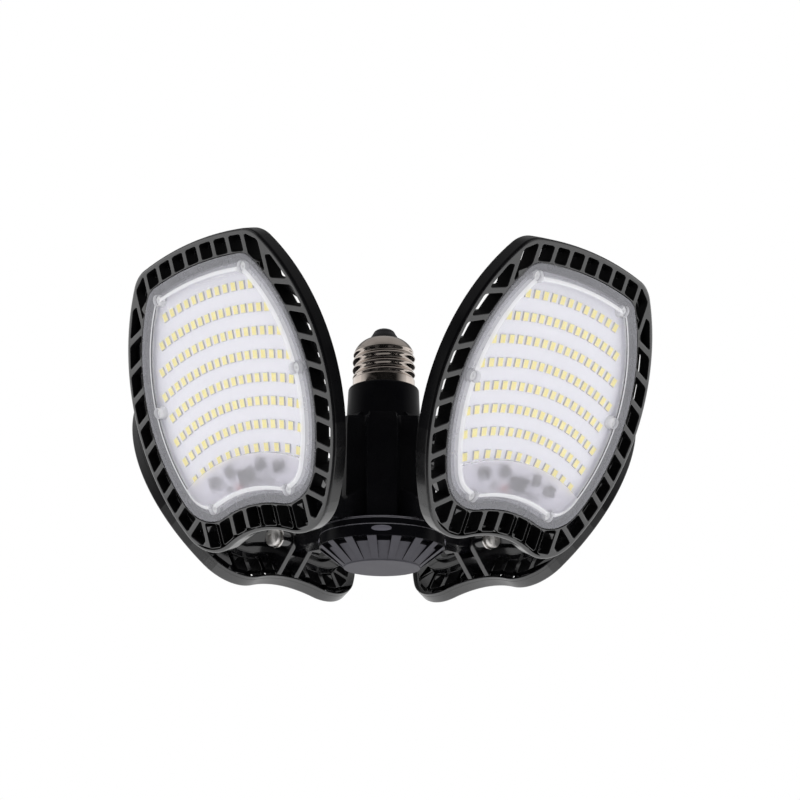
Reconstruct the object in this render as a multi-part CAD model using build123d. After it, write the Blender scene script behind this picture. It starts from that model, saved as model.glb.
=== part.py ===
from build123d import *
import math
import os

# Folding leaf lamp on a screw base: a square hub carries four hinged leaves with LED boards.
# Lengths are in millimetres, angles in degrees.
# The origin is on the lamp's axis, at the lower edge of the screw shell. +Z points to the lamp holder.

# Screw base
rim_radius = 13.1
rim_height = 3.9
thread_radius = 12.7
thread_top = 16.2
shell_step = 0.6
shell_wall = 0.5
shell_shoulder_radius = 11.4
shell_shoulder_rise = 2.6
neck_radius = 6.4
neck_height = 22.4
insulator_tip_radius = 4.9
insulator_height = 3.2
insulator_plug = 4.2
contact_radius = 4.3
contact_height = 1.9
base_clearance = 0.1

# Collar between the screw shell and the hub
collar_top_radius = 15.0
collar_foot_radius = 15.7
collar_height = 16.2
collar_shoulder = 1.3
collar_wall = 2.4
collar_roof = 3.4
spigot_height = 7.0
collar_gusset_reach = 2.6
collar_gusset_height = 2.4
collar_gusset_width = 6.0

# Hub body
hub_half_width = 16.5
hub_height = 44.7
hub_wall = 2.6
hub_roof = 3.0
hub_corner = 1.8
hub_bevel_height = 4.2
hub_bevel_angle = 12.0
pilaster_width = 12.0
pilaster_reach = 5.5
pilaster_bevel = 1.5

# Lower ring and bottom cap
ring_radius = 26.0
ring_height = 9.3
ring_wall = 2.6
ring_step = 0.4
ring_step_heights = (0.6, 2.7)
ring_lip = 8.0
ring_lip_thickness = 2.4
cap_clearance = 0.15
cap_inset = 0.5
cap_height = 7.2
cap_disc_radius = 15.8
cap_disc_rise = 0.7
cap_wall = 2.0
cap_spigot_height = 3.0
cap_groove_height = 1.3
cap_groove_depth = 1.2
cap_rib_count = 16
cap_rib_top_width = 3.9
cap_rib_foot_width = 2.8
cap_rib_rise = 1.3

# Hinges
hinge_radius = 52.4
hinge_drop = 58.3
arm_thickness = 6.8
arm_end_radius = 4.0
arm_root_height = 14.0
arm_root_inset = 6.0
arm_ring_gap = 0.8
arm_shoulder_width = 14.0
arm_shoulder_gap = 2.0
hinge_gap = 0.3
cheek_thickness = 2.5
cheek_radius = 4.4
cheek_foot_inset = 0.4
cheek_foot_high = 15.0
seat_radius = 3.5
seat_height = 5.7
bridge_gap = 0.9
bridge_low = -3.6
bridge_high = 10.0
pivot_radius = 2.0
pivot_clearance = 0.05
pivot_head_radius = 4.0
pivot_head_height = 2.6
flat_washer_radius = 4.4
flat_washer_height = 0.8
spring_washer_radius = 3.5
spring_washer_height = 1.2
nut_across_flats = 7.0
nut_height = 3.2
pivot_tail = 1.0

# Leaf: u runs along the hinge, v up the leaf and w out of its front, all measured from the hinge axis
face_depth = 19.3
board_depth = 16.6
fan_centre = -60.0
leaf_middle = 45.0
leaf_half_width = 57.4
leaf_side_radius = 86.0
leaf_top = 106.2
leaf_notch = -9.2
leaf_corner = 14.0
leaf_lobe = 20.5
leaf_edge_round = 0.8
rim_depth = 6.5
lens_side_inset = 9.8
lens_top_inset = 9.2
lens_notch_inset = 10.8
lens_corner = 10.0
lens_lobe = 19.0
tray_floor = 2.6
tray_rise = 3.2
tray_border = 0.6
fin_thickness = 1.6
wire_box_reach = 81.0
wire_box_step = 1.4
wire_box_inset = 4.0
screw_post_radius = 2.8

# Slots in the rim
slot_width = 6.2
slot_pitch = 8.6
slot_outer_margin = 2.2
slot_inner_margin = 0.9
top_slot_count = 9
bottom_slot_count = 7
side_slot_count = 10
side_slot_pitch = 9.6
side_slot_web = 2.3
side_slot_first = 146.0
side_slot_end_gap = 8.5

# Lens, LED board and what is on it
lens_gap = 0.25
lens_flange = 5.4
lens_flange_rise = 0.3
lens_flange_thickness = 1.6
lens_window_rise = 0.8
lens_plate = 1.4
board_thickness = 1.6
board_inset = 3.2
board_gap = 0.3
boss_radius = 2.8
board_screw_radius = 1.25
board_screw_head_radius = 2.2
board_screw_head_height = 1.3
board_screw_depth = 4.0
board_screw_sink = 1.8
screw_clearance = 0.1
# Board screws as shares of the lens's half width and of its height above the notch
board_screw_shares = [(0.548, 0.9235), (0.870, 0.4717), (0.462, 0.021)]
led_width = 2.8
led_length = 3.5
led_height = 0.75
led_top_margin = 12.0
led_row_pitch = 8.9
# LED rows from the top: how many, and the row's half length as a share of the lens's half width
led_rows = [(12, 0.550), (16, 0.672), (17, 0.750), (18, 0.788),
            (17, 0.756), (18, 0.773), (16, 0.723), (12, 0.647)]
driver_chips = [(-18.7, 13.4, 5.6, 4.4, 1.5), (0.6, 12.6, 8.2, 6.0, 1.9), (19.0, 13.2, 5.6, 4.4, 1.5)]
driver_cans = [(-8.6, 16.0, 2.6, 1.7), (9.7, 15.7, 2.6, 1.7)]
driver_resistors = [(-5.6, 9.4), (-11.6, 9.8), (8.0, 9.6), (12.6, 9.2)]
resistor_size = (3.2, 1.6, 0.6)

# Inside the hub
post_spread = 9.5
post_radius = 2.4
post_length = 7.0
terminal_board_width = 25.0
terminal_board_thickness = 1.6
terminal_screw_radius = 1.2
terminal_screw_head_radius = 2.1
terminal_screw_head_height = 1.4
terminal_screw_depth = 4.5
lead_radius = 1.0
neutral_lead_offset = 5.0
lead_clearance = 0.3
collar_screw_margin = 1.8
collar_lug_radius = 3.1
collar_screw_radius = 1.4
collar_screw_head_radius = 2.4
collar_screw_head_height = 1.6
collar_screw_depth = 4.6
ring_screw_depth = 4.0
ring_screw_radius = 1.4
ring_screw_head_radius = 2.4
ring_screw_head_height = 1.6
ring_screw_margin = 1.75

# Each leaf's direction round the axis, its tilt from upright in the photograph and the side of its screw head
leaves = {
    "front_left": (225.0, 20.0, -1),
    "front_right": (315.0, 25.9, 1),
    "back_left": (135.0, 31.5, 1),
    "back_right": (45.0, 31.2, -1),
}

hub_top = -collar_height
hub_bottom = hub_top - hub_height
cap_top = hub_bottom - ring_height
cheek_foot_low = leaf_notch + cheek_foot_inset
cheek_inner = arm_thickness / 2 + hinge_gap
cheek_outer = cheek_inner + cheek_thickness
seat_face = cheek_outer + seat_height
rim_back = face_depth - rim_depth
board_back = board_depth - board_thickness
floor_back = board_back - tray_floor
tray_back = rim_back - tray_rise
lens_half_width = leaf_half_width - lens_side_inset
lens_top = leaf_top - lens_top_inset
lens_notch = leaf_notch + lens_notch_inset
lens_flange_front = face_depth + lens_flange_rise
lens_ledge = lens_flange_front - lens_flange_thickness
lens_front = lens_flange_front + lens_window_rise
lens_under = lens_front - lens_plate
board_screw_seat = lens_front - board_screw_sink - board_screw_head_height
collar_screw_reach = collar_top_radius - collar_wall - collar_screw_margin
ring_screw_reach = ring_radius - ring_wall - ring_screw_head_radius - ring_screw_margin


def turned(points):
    """A solid of revolution about the lamp's axis, from (radius, height) points."""
    profile = Plane.XZ * make_face(Polyline(*points, close=True))
    return revolve(profile, axis=Axis.Z)


def rod(radius, bottom, top, x=0.0, y=0.0):
    """An upright cylinder between two heights."""
    return Pos(x, y, bottom) * Cylinder(radius, top - bottom, align=(Align.CENTER, Align.CENTER, Align.MIN))


def slab(sketch, bottom, top):
    """A flat sketch made into a plate between two heights."""
    return extrude(Pos(0, 0, bottom) * sketch, amount=top - bottom)


def cross_rod(radius, start, end):
    """A cylinder along the hinge axis, between two places on it."""
    low = min(start, end)
    body = Cylinder(radius, abs(end - start), align=(Align.CENTER, Align.CENTER, Align.MIN))
    return Pos(low, 0, 0) * Rot(0, 90, 0) * body


def square_corners(spread):
    return [(x, y) for x in (-spread, spread) for y in (-spread, spread)]


def side_middles(reach):
    return [(reach, 0), (-reach, 0), (0, reach), (0, -reach)]


# Screw base
def screw_shell():
    outside = [(0, 0), (rim_radius, 0), (rim_radius, rim_height), (thread_radius, rim_height + shell_step),
               (thread_radius, thread_top), (shell_shoulder_radius, thread_top + shell_shoulder_rise),
               (neck_radius, neck_height), (0, neck_height)]
    inside = [(max(radius - shell_wall, 0), height - (shell_wall if height == neck_height else 0))
              for radius, height in outside]
    neck = rod(neck_radius - shell_wall, thread_top, neck_height)
    return turned(outside) - turned(inside) - neck


def base_insulator():
    neck = neck_radius - shell_wall - base_clearance
    foot = neck_height - insulator_plug
    plug = turned([(0, foot), (neck, foot), (neck, neck_height), (neck_radius, neck_height),
                   (insulator_tip_radius, neck_height + insulator_height), (0, neck_height + insulator_height)])
    return plug - rod(lead_radius + lead_clearance, thread_top, neck_height + insulator_height)


def centre_contact():
    bottom = neck_height + insulator_height
    top = bottom + contact_height
    return turned([(0, bottom), (contact_radius, bottom), (contact_radius * 0.9, bottom + contact_height * 0.6),
                   (contact_radius * 0.5, top), (0, top)])


def base_collar():
    inside_radius = collar_top_radius - collar_wall
    body = turned([(0, hub_top), (collar_foot_radius, hub_top), (collar_top_radius, 0), (0, 0)])
    body = fillet(body.edges().group_by(Axis.Z)[-1], collar_shoulder)
    body -= rod(inside_radius, hub_top, -collar_roof)
    body += rod(thread_radius - shell_wall - base_clearance, 0, spigot_height)
    body -= rod(lead_radius + lead_clearance, -collar_roof, spigot_height)
    body -= rod(lead_radius + lead_clearance, -collar_roof, spigot_height, neutral_lead_offset)
    gusset = Plane.XZ * make_face(Polyline(
        (inside_radius, hub_top), (collar_foot_radius + collar_gusset_reach, hub_top),
        (collar_foot_radius, hub_top + collar_gusset_height), (inside_radius, hub_top + collar_gusset_height),
        close=True))
    gusset = extrude(gusset, amount=collar_gusset_width / 2, both=True)
    for quarter in range(4):
        body += Rot(0, 0, 45 + 90 * quarter) * gusset
    screw_places = (-collar_screw_reach, collar_screw_reach)
    lugs = Part() + [rod(collar_lug_radius, hub_top, -collar_roof, 0, y) for y in screw_places]
    body += lugs & rod(collar_top_radius - collar_wall / 2, hub_top, -collar_roof)
    hole_top = hub_top + collar_screw_depth + screw_clearance
    for y in screw_places:
        body -= rod(collar_screw_radius + screw_clearance, hub_top, hole_top, 0, y)
    return body


def collar_screws():
    bottom = hub_top - hub_roof
    return [rod(collar_screw_radius, bottom, hub_top + collar_screw_depth, 0, y)
            + rod(collar_screw_head_radius, bottom - collar_screw_head_height, bottom, 0, y)
            for y in (-collar_screw_reach, collar_screw_reach)]


# Hub body with its four arms
def hub_section():
    section = chamfer(Rectangle(2 * hub_half_width, 2 * hub_half_width).vertices(), hub_corner)
    front = hub_half_width + pilaster_reach
    pilaster = make_face(Polyline(
        (hub_half_width - hub_wall, -pilaster_width / 2 - pilaster_bevel),
        (hub_half_width, -pilaster_width / 2 - pilaster_bevel), (front, -pilaster_width / 2),
        (front, pilaster_width / 2), (hub_half_width, pilaster_width / 2 + pilaster_bevel),
        (hub_half_width - hub_wall, pilaster_width / 2 + pilaster_bevel), close=True))
    for quarter in range(4):
        section += Rot(0, 0, 90 * quarter) * pilaster
    return section


def arm_profile(end):
    """Side view of an arm along +X: a tapered root at the hub's corner and a round end at a radius."""
    root = (hub_half_width - hub_corner / 2) * math.sqrt(2) - arm_root_inset
    clear_of_ring = ring_radius + arm_ring_gap
    low = -hinge_drop - arm_end_radius
    high = -hinge_drop + arm_end_radius
    profile = make_face(Polyline(
        (root, hub_bottom), (clear_of_ring, hub_bottom), (clear_of_ring + hub_bottom - low, low), (end, low),
        (end, high), (root + arm_root_inset * 2, high), (root, hub_bottom + arm_root_height), close=True))
    return profile + Pos(end, -hinge_drop) * Circle(arm_end_radius)


def hub_arm():
    """One arm along +X: a thick shoulder and a tongue that ends round the hinge."""
    tongue = arm_profile(hinge_radius) - Pos(hinge_radius, -hinge_drop) * Circle(pivot_radius + pivot_clearance)
    shoulder = arm_profile(hinge_radius - cheek_radius - arm_shoulder_gap - arm_end_radius)
    arm = extrude(Plane.XZ * tongue, amount=arm_thickness / 2, both=True)
    return arm + extrude(Plane.XZ * shoulder, amount=arm_shoulder_width / 2, both=True)


def hub_body():
    section = hub_section()
    shoulder = hub_top - hub_bevel_height
    body = slab(section, hub_bottom, shoulder)
    body += extrude(Pos(0, 0, shoulder) * section, amount=hub_bevel_height, taper=hub_bevel_angle)
    arm = hub_arm()
    for leaf in leaves.values():
        body += Rot(0, 0, leaf[0]) * arm
    room = Rectangle(2 * (hub_half_width - hub_wall), 2 * (hub_half_width - hub_wall))
    room = chamfer(room.vertices(), hub_corner)
    body -= slab(room, hub_bottom, hub_top - hub_roof)
    body -= rod(neutral_lead_offset + lead_radius + 2 * lead_clearance, hub_top - hub_roof, hub_top)
    for x, y in square_corners(post_spread):
        body += rod(post_radius, hub_top - hub_roof - post_length, hub_top - hub_roof / 2, x, y)
    for x, y in square_corners(post_spread):
        body -= rod(terminal_screw_radius + screw_clearance, hub_top - hub_roof - post_length,
                    hub_top - hub_roof - post_length + terminal_screw_depth + screw_clearance, x, y)
    for y in (-collar_screw_reach, collar_screw_reach):
        body -= rod(collar_screw_radius + screw_clearance, hub_top - hub_roof, hub_top, 0, y)
    hole_top = hub_bottom + ring_screw_depth + screw_clearance
    for x, y in side_middles(ring_screw_reach):
        body -= rod(ring_screw_radius + screw_clearance, hub_bottom, hole_top, x, y)
    return body


def lower_ring():
    inside = ring_radius - ring_wall
    lip = inside - ring_lip
    lip_bottom = hub_bottom - ring_lip_thickness
    upper = hub_bottom - ring_step_heights[0]
    lower = upper - ring_step_heights[1]
    ring = turned([(lip, hub_bottom), (ring_radius - 2 * ring_step, hub_bottom),
                   (ring_radius - 2 * ring_step, upper), (ring_radius - ring_step, upper),
                   (ring_radius - ring_step, lower), (ring_radius, lower),
                   (ring_radius, cap_top), (inside, cap_top), (inside, lip_bottom), (lip, lip_bottom)])
    for x, y in side_middles(ring_screw_reach):
        ring -= rod(ring_screw_radius + screw_clearance, lip_bottom, hub_bottom, x, y)
    return ring


def ring_screws():
    lip_bottom = hub_bottom - ring_lip_thickness
    return [rod(ring_screw_radius, lip_bottom, hub_bottom + ring_screw_depth, x, y)
            + rod(ring_screw_head_radius, lip_bottom - ring_screw_head_height, lip_bottom, x, y)
            for x, y in side_middles(ring_screw_reach)]


def bottom_cap():
    """A shallow cone with a flat disc, and tapered ribs that bridge the groove under the ring."""
    edge = ring_radius - cap_inset
    groove = edge - cap_groove_depth
    spigot = ring_radius - ring_wall - cap_clearance
    bottom = cap_top - cap_height
    cap = turned([(0, bottom), (cap_disc_radius, bottom), (cap_disc_radius, bottom + cap_disc_rise),
                  (groove, cap_top - cap_groove_height), (groove, cap_top), (spigot, cap_top),
                  (spigot, cap_top + cap_spigot_height), (spigot - cap_wall, cap_top + cap_spigot_height),
                  (spigot - cap_wall, cap_top), (cap_disc_radius - cap_wall, bottom + cap_wall),
                  (0, bottom + cap_wall)])
    rib_foot = bottom + cap_disc_rise
    rib_zone = turned([(cap_disc_radius, rib_foot), (cap_disc_radius + cap_rib_rise, rib_foot),
                       (edge, cap_top - cap_rib_rise), (edge, cap_top), (groove, cap_top),
                       (groove, cap_top - cap_groove_height)])
    rib = slab(make_face(Polyline((cap_disc_radius, -cap_rib_foot_width / 2), (edge, -cap_rib_top_width / 2),
                                  (ring_radius, -cap_rib_top_width / 2), (ring_radius, cap_rib_top_width / 2),
                                  (edge, cap_rib_top_width / 2), (cap_disc_radius, cap_rib_foot_width / 2),
                                  close=True)), bottom, cap_top)
    for place in range(cap_rib_count):
        cap += rib_zone & Rot(0, 0, (place + 0.5) * 360 / cap_rib_count) * rib
    return cap


# Inside the hub
def terminal_board():
    top = hub_top - hub_roof - post_length
    board = slab(Rectangle(terminal_board_width, terminal_board_width), top - terminal_board_thickness, top)
    for x, y in square_corners(post_spread):
        board -= rod(terminal_screw_radius + screw_clearance, top - terminal_board_thickness, top, x, y)
    return board


def terminal_screws():
    top = hub_top - hub_roof - post_length
    under = top - terminal_board_thickness
    return [rod(terminal_screw_radius, under, top + terminal_screw_depth, x, y)
            + rod(terminal_screw_head_radius, under - terminal_screw_head_height, under, x, y)
            for x, y in square_corners(post_spread)]


def live_lead():
    return rod(lead_radius, hub_top - hub_roof - post_length, neck_height + insulator_height)


def neutral_lead():
    """Rises from the terminal board and bends out to the shell, where it is soldered."""
    bend = thread_radius - shell_wall - neutral_lead_offset
    top = spigot_height + bend
    tail = cross_rod(lead_radius, 0, bend - base_clearance)
    lead = rod(lead_radius, hub_top - hub_roof - post_length, top, neutral_lead_offset)
    lead += Pos(neutral_lead_offset, 0, top) * Sphere(lead_radius)
    return lead + Pos(neutral_lead_offset, 0, top) * tail


# Leaf outlines
def leaf_outline(half_width, side_radius, top, notch, corner, lobe):
    """Two side arcs, and a top arc and a bottom notch about the fan centre, with rounded corners."""
    outline = Pos(0, fan_centre) * Circle(top - fan_centre)
    for side in (-1, 1):
        outline &= Pos(side * (side_radius - half_width), leaf_middle) * Circle(side_radius)
    outline -= Pos(0, fan_centre) * Circle(notch - fan_centre)
    corners = outline.vertices().sort_by(Axis.Y)
    outline = fillet(corners[:2], lobe)
    upper = outline.vertices().filter_by(lambda vertex: vertex.Y > leaf_middle)
    return fillet(upper.group_by(Axis.Y)[-1], corner)


def rim_outline(grow=0.0):
    return leaf_outline(leaf_half_width + grow, leaf_side_radius + grow, leaf_top + grow, leaf_notch - grow,
                        leaf_corner + grow, leaf_lobe + grow)


def lens_outline(grow=0.0):
    return leaf_outline(lens_half_width + grow, leaf_side_radius - lens_side_inset + grow, lens_top + grow,
                        lens_notch - grow, lens_corner + grow, lens_lobe + grow)


def ring_about_fan(inner, outer):
    return Pos(0, fan_centre) * (Circle(outer) - Circle(inner))


def slot_pattern():
    """Upright slots above and below the lens, and slots along arcs about the fan centre at its sides."""
    zone = rim_outline(-slot_outer_margin) - lens_outline(slot_inner_margin)
    reach = leaf_top - leaf_middle
    slots = []
    for count, middle in ((top_slot_count, leaf_top), (bottom_slot_count, leaf_notch)):
        for place in range(count):
            u = (place - (count - 1) / 2) * slot_pitch
            slots.append(zone & Pos(u, middle) * Rectangle(slot_width, reach))
    top_half = ((top_slot_count - 1) * slot_pitch + slot_width) / 2 + side_slot_web
    bottom_half = ((bottom_slot_count - 1) * slot_pitch + slot_width) / 2 + side_slot_web
    sides = zone - Pos(0, leaf_top) * Rectangle(2 * top_half, reach)
    sides -= Pos(0, leaf_notch) * Rectangle(2 * bottom_half, reach)
    for place in range(side_slot_count):
        outer = side_slot_first - (place - 1) * side_slot_pitch - side_slot_web / 2
        inner = side_slot_first - place * side_slot_pitch + side_slot_web / 2
        if place == 0:
            outer = inner + side_slot_end_gap
        slots.append(sides & ring_about_fan(inner, outer))
    return Sketch() + slots


# Leaf pieces, each built about its hinge axis: X is u, Y is v and Z is w
def screw_points():
    return [(side * across * lens_half_width, lens_notch + up * (lens_top - lens_notch))
            for across, up in board_screw_shares for side in (-1, 1)]


def cheek_profile():
    """Outline of a hinge cheek in the v, w plane: a round end with tangents to its foot on the frame."""
    foot = [(cheek_foot_low, rim_back), (cheek_foot_high, tray_back)]
    touch = []
    for (v, w), turn in zip(foot, (1, -1)):
        angle = math.atan2(w, v) + turn * math.acos(cheek_radius / math.hypot(v, w))
        touch.append((cheek_radius * math.cos(angle), cheek_radius * math.sin(angle)))
    web = Polyline(foot[0], touch[0], (0, 0), touch[1], foot[1], (cheek_foot_high, rim_back), close=True)
    return make_face(web) + Circle(cheek_radius)


def tray_back_parts():
    """Behind the tray's floor: fins in line with the side webs, a stepped wire box and posts for screws."""
    tray = lens_outline(tray_border)
    radii = [side_slot_first - place * side_slot_pitch for place in range(side_slot_count - 1)]
    fins = [tray & ring_about_fan(radius - fin_thickness / 2, radius + fin_thickness / 2) for radius in radii]
    parts = slab(Sketch() + fins, tray_back, floor_back)
    low_end = Pos(0, fan_centre) * Circle(wire_box_reach)
    parts += slab(tray & low_end, tray_back, floor_back)
    parts += slab(lens_outline(-wire_box_inset) & low_end, tray_back - wire_box_step, tray_back)
    for u, v in screw_points():
        parts += rod(screw_post_radius, tray_back, floor_back, u, v)
    return parts


def leaf_frame():
    rim = slab(rim_outline(), rim_back, face_depth - leaf_edge_round)
    rim += extrude(Pos(0, 0, face_depth - leaf_edge_round) * rim_outline(), amount=leaf_edge_round, taper=45)
    rim -= slab(slot_pattern(), rim_back, face_depth)
    rim += slab(lens_outline(tray_border), floor_back, rim_back)
    rim -= slab(lens_outline(lens_gap), lens_ledge, face_depth)
    rim -= slab(lens_outline(board_gap - board_inset), board_back, lens_ledge)
    rim += tray_back_parts()
    cheek = extrude(Plane.YZ * cheek_profile(), amount=cheek_thickness)
    frame = rim + Pos(cheek_inner, 0, 0) * cheek + Pos(-cheek_outer, 0, 0) * cheek
    bridge = Plane.YZ * make_face(Polyline((bridge_low, 0), (bridge_high, 0), (bridge_high, rim_back),
                                           (bridge_low, rim_back), close=True))
    bridge = extrude(bridge, amount=cheek_outer, both=True)
    room = cross_rod(arm_end_radius + bridge_gap, -cheek_outer, cheek_outer)
    low_box = Plane.YZ * Pos(bridge_low, 0) * Rectangle(2 * cheek_radius, 2 * (arm_end_radius + bridge_gap))
    bridge = bridge - room - extrude(low_box, amount=cheek_outer, both=True)
    frame += bridge & Pos(0, 0, tray_back) * Box(2 * cheek_inner, 4 * bridge_high, 4 * rim_back)
    frame += cross_rod(seat_radius, cheek_outer, seat_face) + cross_rod(seat_radius, -seat_face, -cheek_outer)
    frame -= cross_rod(pivot_radius + pivot_clearance, -seat_face, seat_face)
    hole_bottom = board_back - board_screw_depth - screw_clearance
    for u, v in screw_points():
        frame -= rod(board_screw_radius + screw_clearance, hole_bottom, board_back, u, v)
        frame -= rod(boss_radius + lens_gap, board_depth, lens_ledge, u, v)
    return frame


def leaf_board():
    board = slab(lens_outline(-board_inset), board_back, board_depth)
    for u, v in screw_points():
        board -= rod(board_screw_radius + screw_clearance, board_back, board_depth, u, v)
    return board


def leaf_lens():
    """A flange on the frame's ledge, a raised window with a bevelled edge, and a boss for each screw."""
    lens = slab(lens_outline(), lens_ledge, lens_flange_front)
    window = Pos(0, 0, lens_flange_front) * lens_outline(-lens_flange)
    lens += extrude(window, amount=lens_window_rise, taper=45)
    lens -= slab(lens_outline(-lens_flange - lens_plate), lens_ledge, lens_under)
    for u, v in screw_points():
        lens += rod(boss_radius, board_depth, lens_under, u, v)
    for u, v in screw_points():
        lens -= rod(board_screw_head_radius + screw_clearance, board_screw_seat, lens_front, u, v)
        lens -= rod(board_screw_radius + screw_clearance, board_depth, board_screw_seat, u, v)
    return lens


def leaf_board_screws():
    head_top = board_screw_seat + board_screw_head_height
    return [rod(board_screw_radius, board_back - board_screw_depth, board_screw_seat, u, v)
            + rod(board_screw_head_radius, board_screw_seat, head_top, u, v) for u, v in screw_points()]


def leaf_leds():
    package = Box(led_width, led_length, led_height, align=(Align.CENTER, Align.CENTER, Align.MIN))
    leds = []
    for row, (count, share) in enumerate(led_rows):
        radius = lens_top - fan_centre - led_top_margin - row * led_row_pitch
        for place in range(count):
            u = share * lens_half_width * (2 * place / (count - 1) - 1)
            turn = math.asin(u / radius)
            v = fan_centre + radius * math.cos(turn)
            leds.append(Pos(u, v, board_depth) * Rot(0, 0, -math.degrees(turn)) * package)
    return leds


def leaf_driver_parts():
    """Flat chips, two round coils and small resistors on the lower end of the board."""
    seated = (Align.CENTER, Align.CENTER, Align.MIN)
    parts = [Pos(u, v, board_depth) * Box(width, length, height, align=seated)
             for u, v, width, length, height in driver_chips]
    parts += [rod(radius, board_depth, board_depth + height, u, v) for u, v, radius, height in driver_cans]
    parts += [Pos(u, v, board_depth) * Box(*resistor_size, align=seated) for u, v in driver_resistors]
    return parts


def hinge_screw(side):
    head_seat = seat_face + flat_washer_height + spring_washer_height
    tail = -seat_face - nut_height - pivot_tail
    head = cross_rod(pivot_head_radius, side * head_seat, side * (head_seat + pivot_head_height))
    crown = head.edges().filter_by(GeomType.CIRCLE).sort_by(Axis.X)[-1 if side > 0 else 0]
    return fillet(crown, pivot_head_height / 2) + cross_rod(pivot_radius, side * tail, side * head_seat)


def washer(radius, start, end):
    return cross_rod(radius, start, end) - cross_rod(pivot_radius + pivot_clearance, start, end)


def hinge_flat_washer(side):
    return washer(flat_washer_radius, side * seat_face, side * (seat_face + flat_washer_height))


def hinge_spring_washer(side):
    start = seat_face + flat_washer_height
    return washer(spring_washer_radius, side * start, side * (start + spring_washer_height))


def hinge_nut(side):
    start = -side * seat_face
    end = -side * (seat_face + nut_height)
    hexagon = RegularPolygon(nut_across_flats / 2, 6, major_radius=False)
    nut = Pos(min(start, end), 0, 0) * Rot(0, 90, 0) * extrude(hexagon, amount=nut_height)
    return nut - cross_rod(pivot_radius + pivot_clearance, start, end)


def leaf_place(azimuth, tilt):
    """Where a leaf's own axes lie on the lamp: u round the hub, v up the leaf, w out of its front."""
    out = Vector(math.cos(math.radians(azimuth)), math.sin(math.radians(azimuth)), 0)
    along = Vector(-out.Y, out.X, 0)
    lean = math.radians(tilt)
    front = out * math.cos(lean) - Vector(0, 0, 1) * math.sin(lean)
    hinge = out * hinge_radius - Vector(0, 0, hinge_drop)
    return Location(Plane(origin=hinge, x_dir=along, z_dir=front))


def save(name, shape, place=Location()):
    """Writes one node: a single solid, or a group of separate solids."""
    if isinstance(shape, list):
        shape = Compound(children=[place * solid for solid in shape])
    else:
        shape = place * shape
    export_step(shape, f"parts/{name}.step")


os.makedirs("parts", exist_ok=True)

hub_pieces = [screw_shell, base_insulator, centre_contact, base_collar, collar_screws, hub_body, lower_ring,
              ring_screws, bottom_cap, terminal_board, terminal_screws, live_lead, neutral_lead]
for piece in hub_pieces:
    save(piece.__name__, piece())

leaf_pieces = {
    "frame": leaf_frame(), "board": leaf_board(), "lens": leaf_lens(), "board_screws": leaf_board_screws(),
    "leds": leaf_leds(), "driver_parts": leaf_driver_parts(),
}
hinge_pieces = {
    "hinge_screw": hinge_screw, "flat_washer": hinge_flat_washer, "spring_washer": hinge_spring_washer,
    "hinge_nut": hinge_nut,
}
for leaf, (azimuth, tilt, side) in leaves.items():
    place = leaf_place(azimuth, tilt)
    for name, shape in leaf_pieces.items():
        save(f"{leaf}_{name}", shape, place)
    for name, make in hinge_pieces.items():
        save(f"{leaf}_{name}", make(side), place)
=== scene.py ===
from math import acos, asin, atan2, cos, hypot, pi, radians, sin, sqrt
import bmesh
import bpy
from mathutils import Matrix, Vector


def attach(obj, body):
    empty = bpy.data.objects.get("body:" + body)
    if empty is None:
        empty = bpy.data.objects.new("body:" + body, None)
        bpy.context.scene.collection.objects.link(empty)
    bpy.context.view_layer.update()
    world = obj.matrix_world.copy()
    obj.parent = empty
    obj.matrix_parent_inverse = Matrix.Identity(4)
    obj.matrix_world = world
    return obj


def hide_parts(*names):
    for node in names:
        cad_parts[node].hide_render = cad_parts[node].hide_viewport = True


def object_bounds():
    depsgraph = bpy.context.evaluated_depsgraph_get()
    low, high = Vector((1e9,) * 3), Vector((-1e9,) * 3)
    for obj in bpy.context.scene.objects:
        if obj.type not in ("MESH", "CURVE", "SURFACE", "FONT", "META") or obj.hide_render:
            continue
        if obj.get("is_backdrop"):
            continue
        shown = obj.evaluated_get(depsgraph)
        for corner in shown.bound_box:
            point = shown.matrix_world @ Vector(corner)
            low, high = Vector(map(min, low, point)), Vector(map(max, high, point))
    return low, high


# Folding leaf lamp on a screw base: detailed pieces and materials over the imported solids.
# Sizes are in millimetres and are turned into metres when a mesh is finished.
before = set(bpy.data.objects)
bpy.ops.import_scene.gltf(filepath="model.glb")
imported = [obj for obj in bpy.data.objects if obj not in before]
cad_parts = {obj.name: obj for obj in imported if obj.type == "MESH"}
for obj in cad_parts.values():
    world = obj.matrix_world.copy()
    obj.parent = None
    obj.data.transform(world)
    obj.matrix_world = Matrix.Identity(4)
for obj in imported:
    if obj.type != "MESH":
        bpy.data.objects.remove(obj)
cad_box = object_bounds()
MM = 0.001

# Camera of the photograph
photo_size = 800
camera_place = (8.23, -681.23, -221.72)
camera_target = (6.97, 0.92, -4.27)
camera_roll = 0.42
camera_focus = 1684.2

# Screw base
rim_radius = 13.3
rim_height = 3.9
thread_pitch = 3.63
thread_mean = 12.85
thread_swing = 0.55
thread_top = 16.2
thread_phase = 8.15
thread_overrun = 0.6
thread_run_in = 1.2
thread_run_out = 2.2
thread_end_drop = 0.3
shell_rim_edge = 0.25
shell_wall = 0.5
shoulder_round = 3.4
shoulder_radius = 11.0
shoulder_height = 20.0
neck_radius = 6.5
neck_height = 22.4
insulator_height = 3.2
tip_radius = 4.6
tip_middle = 25.0
tip_height = 2.2

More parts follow.
